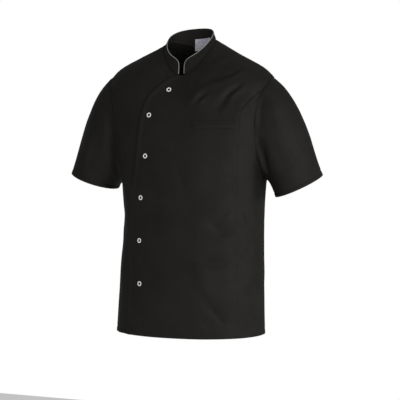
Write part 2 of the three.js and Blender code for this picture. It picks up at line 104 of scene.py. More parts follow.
def makeTwill(name, look):
    # Polyester and cotton twill, woven, dyed and pressed: dull black with a soft broad sheen along the folds,
    # fine slanting ribs, and a little unevenness in the dye and the yarn.
    material, tree = newMaterial(name)
    cut = addNode(tree, "ShaderNodeUVMap", {"uv_map": "cut"}).outputs["UV"]
    place = addNode(tree, "ShaderNodeTexCoord").outputs["Object"]
    turned = addNode(tree, "ShaderNodeMapping", {"Rotation": (0, 0, math.radians(look["ribAngle"]))}, {"Vector": cut})
    ribs = addNode(tree, "ShaderNodeTexWave", {
        "wave_type": "BANDS", "bands_direction": "X", "Scale": 0.314 / look["rib"],
        "Distortion": 0.6, "Detail": 1.0, "Detail Scale": 0.4,
    }, {"Vector": turned.outputs["Vector"]})
    yarn = addNode(tree, "ShaderNodeTexNoise", {
        "Scale": 1 / look["yarn"], "Detail": 2.0, "Roughness": 0.6,
    }, {"Vector": cut})
    dye = addNode(tree, "ShaderNodeTexNoise", {
        "Scale": 1 / look["dye"], "Detail": 4.0, "Roughness": 0.6,
    }, {"Vector": place})
    slub = addNode(tree, "ShaderNodeTexNoise", {
        "Scale": 1 / look["slub"], "Detail": 3.0, "Roughness": 0.55,
    }, {"Vector": place})
    blend = addNode(tree, "ShaderNodeMapRange", {"From Min": 0.35, "From Max": 0.68}, {"Value": dye.outputs["Fac"]})
    shade = addNode(tree, "ShaderNodeMix", {"data_type": "RGBA"}, {"Factor": blend.outputs["Result"]})
    shade.inputs[6].default_value = linear(look["black"])
    shade.inputs[7].default_value = linear(look["worn"])
    uneven = addNode(tree, "ShaderNodeMapRange", {
        "From Min": 0.3, "From Max": 0.7,
        "To Min": look["roughness"] - look["unevenness"], "To Max": look["roughness"] + look["unevenness"],
    }, {"Value": slub.outputs["Fac"]})
    relief = addNode(tree, "ShaderNodeMath", {"operation": "ADD"}, {0: ribs.outputs["Fac"], 1: yarn.outputs["Fac"]})
    close = addNode(tree, "ShaderNodeBump", {"Strength": 0.6, "Distance": look["ribDepth"]}, {
        "Height": relief.outputs["Value"],
    })
    loose = addNode(tree, "ShaderNodeBump", {"Strength": 0.35, "Distance": look["slubDepth"]}, {
        "Height": slub.outputs["Fac"], "Normal": close.outputs["Normal"],
    })
    shader = addNode(tree, "ShaderNodeBsdfPrincipled", {
        "IOR": 1.45, "Specular IOR Level": 0.1, "Sheen Weight": look["sheen"],
        "Sheen Roughness": look["sheenRoughness"], "Sheen Tint": linear(look["sheenTint"]),
    }, {"Base Color": shade.outputs[2], "Roughness": uneven.outputs["Result"], "Normal": loose.outputs["Normal"]})
    addNode(tree, "ShaderNodeOutputMaterial", links={"Surface": shader.outputs["BSDF"]})
    return material


def makePiping(name):
    # Pale grey satin bias tape round a cotton cord: fine threads across it and a soft shine along its round.
    material, tree = newMaterial(name)
    place = addNode(tree, "ShaderNodeTexCoord").outputs["Object"]
    threads = addNode(tree, "ShaderNodeTexNoise", {"Scale": 1 / (0.8 * mm), "Detail": 2.0}, {"Vector": place})
    tone = addNode(tree, "ShaderNodeValToRGB", links={"Fac": threads.outputs["Fac"]})
    low, high = tone.color_ramp.elements
    low.position, low.color = 0.3, linear("#7c7c78")
    high.position, high.color = 0.7, linear("#999995")
    bump = addNode(tree, "ShaderNodeBump", {"Strength": 0.4, "Distance": 0.1 * mm}, {"Height": threads.outputs["Fac"]})
    shader = addNode(tree, "ShaderNodeBsdfPrincipled", {"Roughness": 0.5, "Sheen Weight": 0.2}, {
        "Base Color": tone.outputs["Color"], "Normal": bump.outputs["Normal"],
    })
    addNode(tree, "ShaderNodeOutputMaterial", links={"Surface": shader.outputs["BSDF"]})
    return material


def makeLabel(name):
    # Woven polyester taffeta, bare: pale with a faint lavender tone, thin crosswise threads and a silky shine.
    material, tree = newMaterial(name)
    place = addNode(tree, "ShaderNodeTexCoord").outputs["Object"]
    threads = addNode(tree, "ShaderNodeTexWave", {
        "wave_type": "BANDS", "bands_direction": "Z", "Scale": 0.314 / (0.9 * mm), "Distortion": 0.8, "Detail": 1.0,
    }, {"Vector": place})
    patches = addNode(tree, "ShaderNodeTexNoise", {"Scale": 1 / (9 * mm), "Detail": 2.0}, {"Vector": place})
    tone = addNode(tree, "ShaderNodeValToRGB", links={"Fac": patches.outputs["Fac"]})
    low, high = tone.color_ramp.elements
    low.position, low.color = 0.3, linear("#bbb9c8")
    high.position, high.color = 0.7, linear("#dad8e4")
    bump = addNode(tree, "ShaderNodeBump", {"Strength": 0.5, "Distance": 0.08 * mm}, {"Height": threads.outputs["Fac"]})
    shader = addNode(tree, "ShaderNodeBsdfPrincipled", {"Roughness": 0.42}, {
        "Base Color": tone.outputs["Color"], "Normal": bump.outputs["Normal"],
    })
    addNode(tree, "ShaderNodeOutputMaterial", links={"Surface": shader.outputs["BSDF"]})
    return material


def makeLacquer(name):
    # Brass ring, stamped and lacquered white: smooth, slightly warm, with small uneven spots in its gloss.
    material, tree = newMaterial(name)
    place = addNode(tree, "ShaderNodeTexCoord").outputs["Object"]
    spots = addNode(tree, "ShaderNodeTexNoise", {"Scale": 1 / (1.6 * mm), "Detail": 3.0}, {"Vector": place})
    gloss = addNode(tree, "ShaderNodeMapRange", {"To Min": 0.22, "To Max": 0.4}, {"Value": spots.outputs["Fac"]})
    tone = addNode(tree, "ShaderNodeValToRGB", links={"Fac": spots.outputs["Fac"]})
    low, high = tone.color_ramp.elements
    low.position, low.color = 0.3, linear("#f1f0ec")
    high.position, high.color = 0.7, linear("#fdfcf8")
    shader = addNode(tree, "ShaderNodeBsdfPrincipled", {"IOR": 1.5}, {
        "Base Color": tone.outputs["Color"], "Roughness": gloss.outputs["Result"],
    })
    addNode(tree, "ShaderNodeOutputMaterial", links={"Surface": shader.outputs["BSDF"]})
    return material


def makeThread(name):
    # Core-spun polyester sewing thread in black: tight and smooth, so it shines more than the cloth.
    material, tree = newMaterial(name)
    place = addNode(tree, "ShaderNodeTexCoord").outputs["Object"]
    ply = addNode(tree, "ShaderNodeTexNoise", {"Scale": 1 / (0.6 * mm), "Detail": 1.0}, {"Vector": place})
    tone = addNode(tree, "ShaderNodeValToRGB", links={"Fac": ply.outputs["Fac"]})
    low, high = tone.color_ramp.elements
    low.position, low.color = 0.3, linear("#141311")
    high.position, high.color = 0.7, linear("#1f1e1c")
    shader = addNode(tree, "ShaderNodeBsdfPrincipled", {"Roughness": 0.5, "Specular IOR Level": 0.15}, {
        "Base Color": tone.outputs["Color"],
    })
    addNode(tree, "ShaderNodeOutputMaterial", links={"Surface": shader.outputs["BSDF"]})
    return material


blackTwill = makeTwill("blackTwill", twillLook)
pipingTape = makePiping("pipingTape")
labelTaffeta = makeLabel("labelTaffeta")
whiteLacquer = makeLacquer("whiteLacquer")
blackThread = makeThread("blackThread")
print("materials made")


# Cloth skins: the outside of each packed panel, opened out, smoothed and laid flat for its weave

def selectOnly(piece):
    bpy.ops.object.select_all(action="DESELECT")
    piece.select_set(True)
    bpy.context.view_layer.objects.active = piece


def copyNode(nodeName, name):
    piece = bpy.data.objects.new(name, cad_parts[nodeName].data.copy())
    bpy.context.collection.objects.link(piece)
    piece.data.materials.clear()
    selectOnly(piece)
    bpy.ops.mesh.customdata_custom_splitnormals_clear()
    bpy.ops.object.mode_set(mode="EDIT")
    bpy.ops.mesh.select_all(action="SELECT")
    bpy.ops.mesh.remove_doubles(threshold=0.01 * mm)
    bpy.ops.mesh.tris_convert_to_quads(face_threshold=math.radians(50), shape_threshold=math.radians(120))
    bpy.ops.object.mode_set(mode="OBJECT")
    return piece


def applyModifier(piece, kind, settings):
    selectOnly(piece)
    modifier = piece.modifiers.new(kind.title(), kind)
    for name, value in settings.items():
        setattr(modifier, name, value)
    bpy.ops.object.modifier_apply(modifier=modifier.name)


sharpBend = math.radians(55)    # the outside and the inside of a panel meet at more than this


def patchesOf(mesh):
    # groups of faces that meet without a sharp bend
    left, patches = set(mesh.faces), []
    while left:
        patch, waiting = set(), [left.pop()]
        while waiting:
            face = waiting.pop()
            patch.add(face)
            for edge in face.edges:
                if len(edge.link_faces) == 2 and edge.calc_face_angle(0) < sharpBend:
                    for other in edge.link_faces:
                        if other in left:
                            left.discard(other)
                            waiting.append(other)
        patches.append(patch)
    return sorted(patches, key=lambda patch: -sum(face.calc_area() for face in patch))


def keepOutside(piece, middle):
    # middle is a point on the axis of the hollow at a height, or None for a closed tube, whose outside is larger
    mesh = bmesh.new()
    mesh.from_mesh(piece.data)
    patches = patchesOf(mesh)[:2]
    if middle:
        def facing(patch):
            return sum(f.normal.dot(f.calc_center_median() - Vector(middle(f.calc_center_median().z))) for f in patch)
        patches.sort(key=facing, reverse=True)
    bmesh.ops.delete(mesh, geom=[f for f in mesh.faces if f not in patches[0]], context="FACES")
    mesh.to_mesh(piece.data)
    mesh.free()


rimDepth = 60 * mm    # how far a sleeve's inner rim reaches along the arm


def cutOpen(piece):
    # marks a seam down the underarm of a tube, so that it lies flat as its cut does
    mesh = bmesh.new()
    mesh.from_mesh(piece.data)
    rims = [v for v in mesh.verts if v.is_boundary]
    inner = min(rims, key=lambda v: abs(v.co.x)).co.x
    start = min((v for v in rims if abs(v.co.x - inner) < rimDepth), key=lambda v: v.co.z)
    edge = next(e for e in start.link_edges if not e.is_boundary)
    at = start
    while edge:
        edge.seam = True
        at = edge.other_vert(at)
        faces = set(edge.link_faces)
        edge = next((e for e in at.link_edges if not e.is_boundary and not faces & set(e.link_faces)), None)
        if at.is_boundary:
            break
    mesh.to_mesh(piece.data)
    mesh.free()


def layFlat(piece):
    # unwraps the skin, turned so that v runs up the piece, in metres, and returns the cut's width, length and area
    for layer in list(piece.data.uv_layers):
        piece.data.uv_layers.remove(layer)
    piece.data.uv_layers.new(name="cut")
    selectOnly(piece)
    bpy.ops.object.mode_set(mode="EDIT")
    bpy.ops.mesh.select_all(action="SELECT")
    bpy.ops.uv.unwrap(method="ANGLE_BASED", margin=0.0)
    bpy.ops.object.mode_set(mode="OBJECT")
    mesh = piece.data
    flat = np.empty(2 * len(mesh.loops))
    mesh.uv_layers["cut"].data.foreach_get("uv", flat)
    flat = flat.reshape(-1, 2)
    corners = np.array([mesh.vertices[loop.vertex_index].co for loop in mesh.loops])
    rise = corners[:, 2]
    fit = np.linalg.lstsq(np.c_[flat, np.ones(len(flat))], rise, rcond=None)[0][:2]
    up = fit / np.linalg.norm(fit)
    flat = np.c_[flat @ np.array([up[1], -up[0]]), flat @ up]
    inCut = sum(abs(polygonArea(flat[face.loop_start:face.loop_start + face.loop_total])) for face in mesh.polygons)
    area = sum(face.area for face in mesh.polygons)
    flat *= math.sqrt(area / inCut)
    flat -= flat.min(axis=0)
    mesh.uv_layers["cut"].data.foreach_set("uv", flat.ravel())
    return float(flat[:, 0].max()), float(flat[:, 1].max()), area


def rimsOf(piece):
    # the open edges of a skin, as corner pairs that keep the cloth on their left
    mesh = piece.data
    count, ways = {}, {}
    for face in mesh.polygons:
        corners = list(face.vertices)
        for a, b in zip(corners, corners[1:] + corners[:1]):
            key = (min(a, b), max(a, b))
            count[key] = count.get(key, 0) + 1
            ways[key] = (a, b)
    return [ways[key] for key, uses in count.items() if uses == 1]


def stripSize(piece, area):
    # the width and length of a straight strip with the same area and as much edge
    around = sum((piece.data.vertices[a].co - piece.data.vertices[b].co).length for a, b in rimsOf(piece))
    high = (around - math.sqrt(around ** 2 - 16 * area)) / 4
    return around / 2 - high, high, area


def polygonArea(points):
    x, y = points[:, 0], points[:, 1]
    return 0.5 * float(x @ np.roll(y, -1) - y @ np.roll(x, -1))


bodyMiddle = lambda z: (0, 0, min(z, -0.2))
collarMiddle = lambda z: (-0.005, 0, z)
cloth, skinLevels = 1.6 * mm, 2
clothPieces = {
    # node: the piece's name, its wall, and the middle that its outside faces away from
    "front_left": {"name": "frontLeftCloth", "wall": cloth, "middle": bodyMiddle},
    "front_right": {"name": "frontRightCloth", "wall": cloth, "middle": bodyMiddle},
    "side_front_left": {"name": "sideFrontLeftCloth", "wall": cloth, "middle": bodyMiddle},
    "side_front_right": {"name": "sideFrontRightCloth", "wall": cloth, "middle": bodyMiddle},
    "back": {"name": "backCloth", "wall": cloth, "middle": bodyMiddle},
    "sleeve_left": {"name": "sleeveLeftCloth", "wall": cloth, "middle": None},
    "sleeve_right": {"name": "sleeveRightCloth", "wall": cloth, "middle": None},
    "collar": {"name": "collarCloth", "wall": 2.4 * mm, "middle": collarMiddle},
    "pocket_welt": {"name": "pocketWelt", "wall": 1.5 * mm, "middle": bodyMiddle},
}

skins, cuts = {}, {}
for node, its in clothPieces.items():
    skin = copyNode(node, its["name"])
    keepOutside(skin, its["middle"])
    if its["middle"] is None:
        cutOpen(skin)
    cuts[node] = layFlat(skin)
    if node == "collar":
        cuts[node] = stripSize(skin, cuts[node][2])
    applyModifier(skin, "SUBSURF", {
        "levels": skinLevels, "render_levels": skinLevels, "boundary_smooth": "PRESERVE_CORNERS",
    })
    skins[node] = skin
    odd = sum(len(face.vertices) != 4 for face in skin.data.polygons)
    print(node, "skin", len(skin.data.polygons), "faces,", odd, "odd, cut", [round(c, 3) for c in cuts[node]])


# Folds: each is a line on the cloth as seen from one side, with how deep and wide it is in millimetres. A trough has
# a soft lip beside it, and a depth below nothing makes a ridge.
foldLines = [
    # from the front, x and z
    ("front", 4.4, 6, 0.5, [(62, -110), (87, -107), (108, -102), (124, -96), (138, -89), (154, -74)]),
    ("front", 4.2, 6, 0.6, [(104, -188), (117, -170), (126, -154), (137, -140), (153, -127), (163, -112)]),
    ("front", 3.0, 6, 0.5, [(47, -168), (59, -156), (71, -146), (85, -134)]),
    ("front", -1.8, 8, 0.1, [(34, -168), (48, -153), (61, -133), (74, -118)]),
    ("front", 1.4, 5, 0.4, [(36, -122), (41, -111), (42, -98)]),
    ("front", 2.4, 5, 0.4, [(68, -52), (84, -46), (103, -44)]),
    ("front", 1.2, 5, 0.4, [(66, -60), (77, -62), (88, -62)]),
    ("front", 1.8, 6, 0.4, [(-90, -22), (-78, -38), (-67, -53)]),
    ("front", 1.6, 6, 0.4, [(-57, -68), (-48, -84), (-39, -102)]),
    ("front", 2.2, 6, 0.4, [(-174, -142), (-175, -155), (-174, -168), (-170, -182)]),
    ("front", 3.0, 7, 0.5, [(87, -464), (98, -471), (110, -481), (125, -485), (141, -486)]),
    ("front", 2.0, 7, 0.4, [(111, -447), (120, -440), (129, -432), (142, -422)]),
    ("front", 2.6, 8, 0.5, [(57, -547), (81, -557), (104, -564), (133, -569)]),
    ("front", -2.4, 11, 0.1, [(59, -557), (70, -588), (83, -625), (99, -656)]),
    ("front", 2.6, 7, 0.5, [(74, -644), (88, -664), (101, -681), (117, -700), (130, -713)]),
    ("front", 1.6, 6, 0.4, [(70, -701), (86, -713), (96, -722)]),
    ("front", 2.4, 6, 0.5, [(158, -405), (164, -430), (171, -454), (175, -469)]),
    ("front", 2.6, 6, 0.5, [(188, -481), (184, -498), (174, -524), (165, -546), (156, -560), (151, -572)]),
    ("front", 1.7, 6, 0.4, [(-107, -521), (-96, -538), (-86, -553), (-76, -568), (-69, -585)]),
    ("front", 1.3, 5, 0.4, [(133, -352), (146, -357), (158, -358)]),
    ("front", 1.3, 5, 0.4, [(138, -608), (149, -612), (160, -610)]),
    ("front", 1.4, 12, 0.3, [(10, -300), (22, -360), (26, -430)]),
    ("front", -1.3, 16, 0.1, [(-30, -330), (-34, -420), (-28, -520)]),
    ("front", 1.6, 9, 0.4, [(-150, -330), (-140, -390), (-143, -450)]),
    ("front", 1.5, 8, 0.4, [(-176, -430), (-160, -470), (-150, -520)]),
    # from the back, x and z
    ("back", 3.2, 8, 0.5, [(-160, -150), (-140, -190), (-112, -225), (-78, -250)]),
    ("back", 3.0, 8, 0.5, [(164, -160), (148, -200), (124, -240), (92, -268)]),
    ("back", 2.2, 7, 0.4, [(-176, -215), (-158, -260), (-138, -300)]),
    ("back", 2.0, 7, 0.4, [(178, -230), (160, -275), (146, -322)]),
    ("back", 1.6, 7, 0.4, [(-60, -40), (-20, -52), (26, -50), (62, -38)]),
    ("back", 2.6, 8, 0.5, [(-150, -452), (-112, -462), (-70, -463), (-30, -455)]),
    ("back", 2.2, 7, 0.5, [(142, -440), (108, -456), (70, -468), (40, -470)]),
    ("back", 2.4, 8, 0.4, [(-84, -486), (-40, -497), (10, -500), (52, -492)]),
    ("back", -2.0, 14, 0.1, [(-62, -540), (-74, -600), (-82, -660), (-88, -715)]),
    ("back", 2.0, 11, 0.3, [(-30, -560), (-36, -620), (-38, -690)]),
    ("back", 2.2, 12, 0.3, [(60, -560), (74, -630), (84, -700)]),
    ("back", 1.8, 8, 0.4, [(150, -500), (138, -550), (130, -610)]),
    ("back", 1.8, 8, 0.4, [(-168, -500), (-152, -548), (-140, -600)]),
    ("back", 1.4, 14, 0.3, [(0, -180), (6, -250), (2, -320)]),
    # from the wearer's left and right, y and z
    ("left", 2.0, 7, 0.4, [(-40, -430), (-10, -450), (30, -462)]),
    ("left", 1.8, 7, 0.4, [(40, -560), (20, -610), (8, -660)]),
    ("left", 2.0, 8, 0.4, [(60, -160), (66, -215), (60, -270)]),
    ("left", 1.5, 9, 0.4, [(-24, -170), (-32, -230), (-30, -290)]),
    ("left", 1.6, 8, 0.4, [(24, -250), (30, -300), (26, -350)]),
    ("right", 2.0, 7, 0.4, [(-44, -440), (-8, -452), (28, -446)]),
    ("right", 1.8, 7, 0.4, [(36, -540), (22, -596), (14, -650)]),
    ("right", 2.0, 8, 0.4, [(62, -150), (68, -205), (62, -262)]),
    ("right", 1.5, 9, 0.4, [(-26, -160), (-36, -220), (-36, -280)]),
    ("right", 1.6, 8, 0.4, [(20, -240), (28, -290), (24, -330)]),
    # sleeves from the front, x and z
    ("front", 2.2, 6, 0.5, [(203, -96), (222, -104), (236, -116), (246, -134)]),
    ("front", 3.6, 7, 0.4, [(196, -140), (201, -166), (205, -196), (208, -230)]),
    ("front", 6.0, 7, 0.3, [(194, -244), (201, -274), (208, -300), (213, -324), (219, -348)]),
    ("front", 1.3, 5, 0.4, [(276, -198), (280, -214), (284, -230)]),
    ("front", -1.4, 12, 0.1, [(226, -150), (246, -210), (264, -276)]),
    ("front", 1.6, 9, 0.4, [(232, -256), (252, -302), (268, -346)]),
    ("front", 7.5, 10, 0.25, [
        (-214, -176), (-207, -196), (-200, -222), (-196, -250), (-193, -278), (-194, -305), (-201, -338),
    ]),
    ("front", -1.6, 12, 0.1, [(-262, -150), (-262, -204), (-270, -262)]),
    ("front", 1.8, 9, 0.4, [(-244, -236), (-262, -286), (-272, -330)]),
    # sleeves from the back, x and z
    ("back", 2.6, 8, 0.4, [(206, -150), (218, -196), (226, -250)]),
    ("back", 1.8, 9, 0.4, [(250, -180), (262, -240), (276, -300)]),
    ("back", 2.6, 8, 0.4, [(-214, -140), (-226, -190), (-232, -240)]),
    ("back", 1.8, 9, 0.4, [(-256, -170), (-268, -230), (-280, -290)]),
]
foldShape = {
    "step": 2.0 * mm, "gain": 1.25,
    "reach": 5.0, "steep": 1.0, "gentle": 1.7,         # in widths of the fold
    "lipAt": 2.1, "lipWide": 1.3,                      # on its steep side, in widths
    "farLip": 0.45, "farLipAt": 1.3, "farLipWide": 1.5,    # on its gentle side, as shares of the other lip
    "wander": 0.25, "wanderWaves": 5.1,                # its width comes and goes along it
    "swell": 0.15, "swellWaves": 9, "fade": 0.7,       # and so does its depth, to nothing at both ends
}
curveSteps, leastLine = 24, 5

views = {
    "front": lambda a, b: (Vector((a, -1, b)), Vector((0, 1, 0))),
    "back": lambda a, b: (Vector((a, 1, b)), Vector((0, -1, 0))),
    "left": lambda a, b: (Vector((1, a, b)), Vector((-1, 0, 0))),
    "right": lambda a, b: (Vector((-1, a, b)), Vector((1, 0, 0))),
}


def treeOf(pieces):
    points, faces = [], []
    for piece in pieces:
        first = len(points)
        points += [v.co.copy() for v in piece.data.vertices]
        faces += [[first + k for k in face.vertices] for face in piece.data.polygons]
    return BVHTree.FromPolygons(points, faces)


wholeJacket = treeOf([skins[node] for node in skins if node not in ("collar", "pocket_welt")])


def smoothLine(points, step):
    # a soft curve through the points, cut into even steps
    points = np.array(points, float)
    padded = np.vstack([2 * points[0] - points[1], points, 2 * points[-1] - points[-2]])
    fine = []
    for k in range(1, len(padded) - 2):
        p0, p1, p2, p3 = padded[k - 1:k + 3]
        for t in np.linspace(0, 1, curveSteps, endpoint=False):
            square, cube = 2 * p0 - 5 * p1 + 4 * p2 - p3, 3 * p1 - p0 - 3 * p2 + p3
            fine.append(0.5 * (2 * p1 + (p2 - p0) * t + square * t ** 2 + cube * t ** 3))
    fine = np.array(fine + [points[-1]])
    run = np.r_[0, np.cumsum(np.linalg.norm(np.diff(fine, axis=0), axis=1))]
    at = np.linspace(0, run[-1], max(2, int(run[-1] / step)))
    return np.c_[[np.interp(at, run, fine[:, k]) for k in range(fine.shape[1])]].T


def castFold(side, points):
    flat = smoothLine(np.array(points) * mm, foldShape["step"])
    found = []
    for a, b in flat:
        start, direction = views[side](a, b)
        hit = wholeJacket.ray_cast(start, direction)[0]
        if hit:
            found.append(hit)
    return np.array(found)


folds = []
for number, (side, depth, width, lip, points) in enumerate(foldLines):
    line = castFold(side, points)
    if len(line) < leastLine:
        print("fold", number, "misses the cloth")
        continue
    ahead = np.gradient(line, axis=0)
    ahead /= np.linalg.norm(ahead, axis=1)[:, None]
    folds.append({
        "line": line, "ahead": ahead, "depth": foldShape["gain"] * depth * mm,
        "width": width * mm, "lip": lip, "seed": number,
    })
print("folds laid:", len(folds))


def foldRise(points, normals):
    # how far the folds move each point along its normal
    rise = np.zeros(len(points))
    for fold in folds:
        reach = foldShape["reach"] * fold["width"]
        low, high = fold["line"].min(axis=0) - reach, fold["line"].max(axis=0) + reach
        near = np.flatnonzero(np.all((points > low) & (points < high), axis=1))
        if len(near) == 0:
            continue
        gaps = points[near][:, None, :] - fold["line"][None, :, :]
        nearest = (gaps ** 2).sum(axis=2).argmin(axis=1)
        gap = gaps[np.arange(len(near)), nearest]
        across = np.einsum("ij,ij->i", np.cross(fold["ahead"][nearest], normals[near]), gap)
        signed = np.copysign(np.linalg.norm(gap, axis=1), across)
        share = nearest / (len(fold["line"]) - 1)
        width = fold["width"] * (1 + foldShape["wander"] * np.sin(foldShape["wanderWaves"] * share + fold["seed"]))
        fade = np.sin(np.pi * np.clip(share, 0.001, 0.999)) ** foldShape["fade"]
        swell = foldShape["swell"]
        fade *= 1 - swell + swell * np.sin(foldShape["swellWaves"] * share + 2 * fold["seed"])
        trough = np.exp(-(signed / (width * np.where(signed > 0, foldShape["steep"], foldShape["gentle"]))) ** 2)
        lipAt, lipWide = foldShape["lipAt"] * width, foldShape["lipWide"] * width
        lip = np.exp(-((signed - lipAt) / lipWide) ** 2)
        farLip = np.exp(-((signed + foldShape["farLipAt"] * lipAt) / (foldShape["farLipWide"] * lipWide)) ** 2)
        lip += foldShape["farLip"] * farLip
        rise[near] += fold["depth"] * fade * (fold["lip"] * lip - trough)
    return rise


def coordinates(piece):
    points = np.empty(3 * len(piece.data.vertices))
    piece.data.vertices.foreach_get("co", points)
    return points.reshape(-1, 3)


def normalsOf(piece):
    normals = np.empty(3 * len(piece.data.vertices))
    piece.data.vertex_normals.foreach_get("vector", normals)
    return normals.reshape(-1, 3)


def moveTo(piece, points):
    piece.data.vertices.foreach_set("co", points.ravel())
    piece.data.update()


def pointTree(points):
    tree = KDTree(max(1, len(points)))
    for k, point in enumerate(points):
        tree.insert(point, k)
    tree.balance()
    return tree


# Which open edges meet another piece in a seam, and which are free. Side fronts and sleeves end in corners, which lie
# further from their neighbours.
seamReach, tipReach = 3.0 * mm, 5.5 * mm
rimPoints, rimTrees, seamTrees, freeTrees = {}, {}, {}, {}


def neighbours(node, at):
    # the nearest points on the other pieces' open edges, where they are within reach
    near = []
    for other in skins:
        if other in (node, "pocket_welt"):
            continue
        point, index, away = rimTrees[other].find(at)
        cornered = any(word in node + other for word in ("side", "sleeve"))
        if away < (tipReach if cornered else seamReach):
            near.append(point)
    return near


def isSeam(node, point):
    return bool(neighbours(node, point))


def findRims():
    for node, skin in skins.items():
        rimPoints[node] = [skin.data.vertices[a].co.copy() for a, b in rimsOf(skin)]
        rimTrees[node] = pointTree(rimPoints[node])
    for node, points in rimPoints.items():
        seams = [isSeam(node, p) for p in points]
        seamTrees[node] = pointTree([p for p, seam in zip(points, seams) if seam])
        freeTrees[node] = pointTree([p for p, seam in zip(points, seams) if not seam])


findRims()
print("seams found")

snapCentres = []
for k in range(1, 7):
    low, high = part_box(f"snap_{k}")
    snapCentres.append((Vector(low) + Vector(high)) / 2)

drape = {
    "broad": 1.5 * mm, "broadSize": 0.085,       # soft unevenness of cloth that hangs free
    "fine": 0.25 * mm, "fineSize": 0.028, "stretch": 0.6,    # longer up and down than across
    "pucker": 0.5 * mm, "puckerSize": 0.011, "puckerReach": 9 * mm,   # short ripples that a seam draws up
    "hemPucker": 0.6,                            # the same at a hem's stitches, as a share of that
    "sink": 0.6 * mm, "sinkReach": 2.4 * mm,     # the cloth turns in at a seam
    "allowance": 0.3 * mm, "allowanceWide": 11 * mm, "allowanceEdge": 3 * mm,
    "hem": 0.5 * mm, "hemWide": 11 * mm, "hemEdge": 2.5 * mm,
    "hemStitch": 10 * mm, "hemGroove": 0.4 * mm, "hemGrooveWide": 1.6 * mm,
    "snapDent": 1.0 * mm, "snapReach": 15 * mm,
    "stiffNeck": 24 * mm, "stiffArmhole": 8 * mm,
    "close": 0.47, "closeReach": 3 * mm,         # how far each edge of a seam goes to meet the other
    "tuck": 1.6 * mm, "tuckIn": 0.8 * mm, "tuckReach": 3.5 * mm,   # the collar's foot goes down inside the neckline
    "tuckFrom": 14 * mm, "tuckFade": 30 * mm,    # but not at its front ends
    "lapLift": 1.5 * mm, "lapWide": 12 * mm,     # the curved edge stands off the front under it
    "sway": 1.3 * mm, "swaySize": 0.045, "swayRise": 30 * mm, "swayStretch": 0.3,    # of the collar, above its foot
}
collarFoot = {"y": [-0.07, 0.06], "z": [-0.09, 0.0]}    # it runs up from the front of the neck to the back


def smoothStep(values):
    values = np.clip(values, 0, 1)
    return values * values * (3 - 2 * values)


def noiseAt(points, size, shift):
    scaled = points / size + shift
    return np.array([noise.noise(Vector(p)) for p in scaled])


def distances(tree, points):
    return np.array([tree.find(p)[2] if tree.find(p)[0] else 1.0 for p in points])


hemLine, lapEnd = -0.735, 0.03    # the height under which an edge is the hem, and how far left the lap goes
closeRounds = 3
neckSeam = rimTrees["collar"]
armholes = pointTree([p for node in ("sleeve_left", "sleeve_right") for p in rimPoints[node] if isSeam(node, p)])


def hang(piece):
    # the folds and the broad unevenness, the same for every piece at a place, so that layers keep their distance;
    # they fade out towards the neck seam and the armholes, which are stiff
    points, normals = coordinates(piece), normalsOf(piece)
    stretched = points * (1, 1, drape["stretch"])
    rise = foldRise(points, normals)
    broad, fine = noiseAt(stretched, drape["broadSize"], 3.1), noiseAt(stretched, drape["fineSize"], 7.7)
    rise += drape["broad"] * broad + drape["fine"] * fine
    for centre in snapCentres:
        away = np.linalg.norm(points - centre, axis=1)
        rise -= drape["snapDent"] * np.exp(-(away / drape["snapReach"]) ** 2)
    rise *= smoothStep(distances(neckSeam, points) / drape["stiffNeck"])
    rise *= smoothStep(distances(armholes, points) / drape["stiffArmhole"])
    moveTo(piece, points + normals * rise[:, None])


def closeSeams(piece, node):
    # draws each seam's edge most of the way to the edges that it is sewn to
    own = [Vector(piece.data.vertices[a].co) for a, b in rimsOf(piece)]
    own = [p for p in own if isSeam(node, p)]
    pulls = []
    for p in own:
        near = neighbours(node, p)
        pulls.append((sum(near, Vector()) / len(near) - p) * drape["close"])
    tree, points = pointTree(own), coordinates(piece)
    for k, point in enumerate(points):
        found, index, away = tree.find(point)
        if away < 3 * drape["closeReach"]:
            points[k] += np.array(pulls[index]) * math.exp(-(away / drape["closeReach"]) ** 2)
    moveTo(piece, points)


def tuckCollar(piece):
    # the collar's foot goes down inside the neckline, as its seam allowance does
    points = coordinates(piece)
    frontEnd = points[np.argmin(points[:, 1])]
    fromEnd = np.linalg.norm((points - frontEnd)[:, :2], axis=1)
    foot = np.exp(-(distances(seamTrees["collar"], points) / drape["tuckReach"]) ** 2)
    foot *= smoothStep((fromEnd - drape["tuckFrom"]) / drape["tuckFade"])
    inwards = points * (-1, -1, 0)
    inwards /= np.linalg.norm(inwards, axis=1)[:, None]
    move = inwards * drape["tuckIn"] - np.array((0, 0, drape["tuck"]))
    moveTo(piece, points + move * foot[:, None])


def finishEdges(piece, node):
    # seams turn in and pucker, free edges are turned up into a hem
    points, normals = coordinates(piece), normalsOf(piece)
    toSeam, toFree = distances(seamTrees[node], points), distances(freeTrees[node], points)
    ripple = noiseAt(points, drape["puckerSize"], 1.3)
    rise = drape["pucker"] * ripple * np.exp(-toSeam / drape["puckerReach"])
    toStitch = toFree - drape["hemStitch"]
    rise += drape["hemPucker"] * drape["pucker"] * ripple * np.exp(-np.abs(toStitch) / drape["puckerReach"])
    rise -= drape["sink"] * np.exp(-(toSeam / drape["sinkReach"]) ** 2)
    rise += drape["allowance"] * smoothStep((drape["allowanceWide"] - toSeam) / drape["allowanceEdge"])
    rise += drape["hem"] * smoothStep((drape["hemWide"] - toFree) / drape["hemEdge"])
    rise -= drape["hemGroove"] * np.exp(-(toStitch / drape["hemGrooveWide"]) ** 2)
    if node == "front_left":
        lap = (points[:, 0] < lapEnd) & (points[:, 2] > hemLine)
        rise += lap * drape["lapLift"] * smoothStep((drape["lapWide"] - toFree) / drape["lapWide"])
    moveTo(piece, points + normals * rise[:, None])


